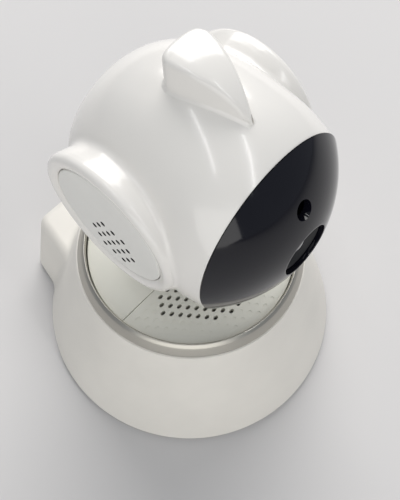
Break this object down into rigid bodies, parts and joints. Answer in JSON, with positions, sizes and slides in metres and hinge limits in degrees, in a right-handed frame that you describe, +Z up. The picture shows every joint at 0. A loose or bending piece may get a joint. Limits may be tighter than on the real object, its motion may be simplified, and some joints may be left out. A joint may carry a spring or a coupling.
{
  "type": "baby monitor camera",
  "caption": "Ball-headed pan and tilt nursery camera with round ears, a domed black face window and a perforated turntable on a conical base",
  "frame": {"origin": "under the middle of the bounding box, on the plane the feet stand on; the pan axis is 1.8 mm towards the front of it", "axes": "+Z up, the lens looks along -Y, the connector pod is at +Y, and +X is to the right of someone who faces the lens"},
  "size_m": [0.104, 0.1076, 0.1304],
  "materials": {
    "white_satin": "fine satin moulded ABS",
    "white_gloss": "polished white ABS",
    "white_inner": "plain moulded ABS",
    "cap_white": "plain moulded ABS, slightly cool white",
    "trim_metal": "satin chrome plating",
    "window_black": "smoked polished acrylic",
    "black_plastic": "matte black ABS",
    "lens_glass": "coated lens glass",
    "led_clear": "clear epoxy",
    "board": "glass-fibre circuit board",
    "steel": "zinc-plated steel",
    "bronze": "sintered bronze",
    "nylon": "natural nylon",
    "rubber": "soft black rubber"
  },
  "bodies": {
    "base": {"base_shell": "white_satin", "trim_ring": "trim_metal", "bottom_cover": "white_inner", "foot_1": "rubber", "foot_2": "rubber", "foot_3": "rubber", "foot_4": "rubber", "cover_screw_1": "steel", "cover_screw_2": "steel", "cover_screw_3": "steel", "counterweight": "steel", "main_board": "board", "ethernet_jack": "black_plastic", "power_inlet": "steel", "reset_switch": "black_plastic", "pan_deck": "white_inner", "deck_screw_1": "steel", "deck_screw_2": "steel", "deck_screw_3": "steel", "pan_motor": "steel", "thrust_washer": "bronze", "hub_clip": "steel"},
    "reset_button": {"reset_button": "black_plastic"},
    "pan_pinion": {"pan_pinion": "nylon"},
    "turntable": {"pan_hub": "nylon", "turntable_rear": "white_satin", "turntable_grille": "white_satin", "turntable_screw_1": "steel", "turntable_screw_2": "steel", "turntable_screw_3": "steel", "turntable_screw_4": "steel", "speaker": "black_plastic", "yoke": "white_inner", "tilt_drive_shaft": "steel", "pivot_pin": "steel"},
    "head": {"head_shell": "white_gloss", "head_rear_cover": "white_gloss", "face_window": "window_black", "face_frame": "black_plastic", "lens_bezel": "black_plastic", "lens_barrel": "black_plastic", "lens_glass": "lens_glass", "lens_holder": "black_plastic", "sensor_board": "board", "ir_led_board": "board", "ir_led_1": "led_clear", "ir_led_2": "led_clear", "ir_led_3": "led_clear", "ir_led_4": "led_clear", "ir_led_5": "led_clear", "ir_led_6": "led_clear", "light_sensor": "led_clear", "ear_cap_left": "cap_white", "ear_cap_right": "cap_white", "microphone": "steel", "tilt_motor": "steel", "tilt_motor_screw_1": "steel", "tilt_motor_screw_2": "steel", "pivot_bush": "bronze", "wifi_board": "board"}
  },
  "joints": [
    {"name": "pan", "type": "hinge", "parent": "base", "child": "turntable", "pos_m": [0, -0.0018, 0.035], "axis": [0, 0, 1], "range_deg": [-175, 175]},
    {"name": "tilt", "type": "hinge", "parent": "turntable", "child": "head", "pos_m": [0, 0.0011, 0.0907], "axis": [-1, 0, 0], "range_deg": [-38.9, 41.1]},
    {"name": "pan_pinion_spin", "type": "hinge", "parent": "base", "child": "pan_pinion", "pos_m": [-0.01704, -0.01884, 0.035], "axis": [0, 0, 1], "range_deg": [-701, 701]},
    {"name": "reset_press", "type": "slide", "parent": "base", "child": "reset_button", "axis": [0, -1, 0], "range_m": [0, 0.0008], "stiffness_N_per_m": 300}
  ],
  "couplings": [
    {"joint": "pan_pinion_spin", "follows": "pan", "ratio": -4}
  ]
}
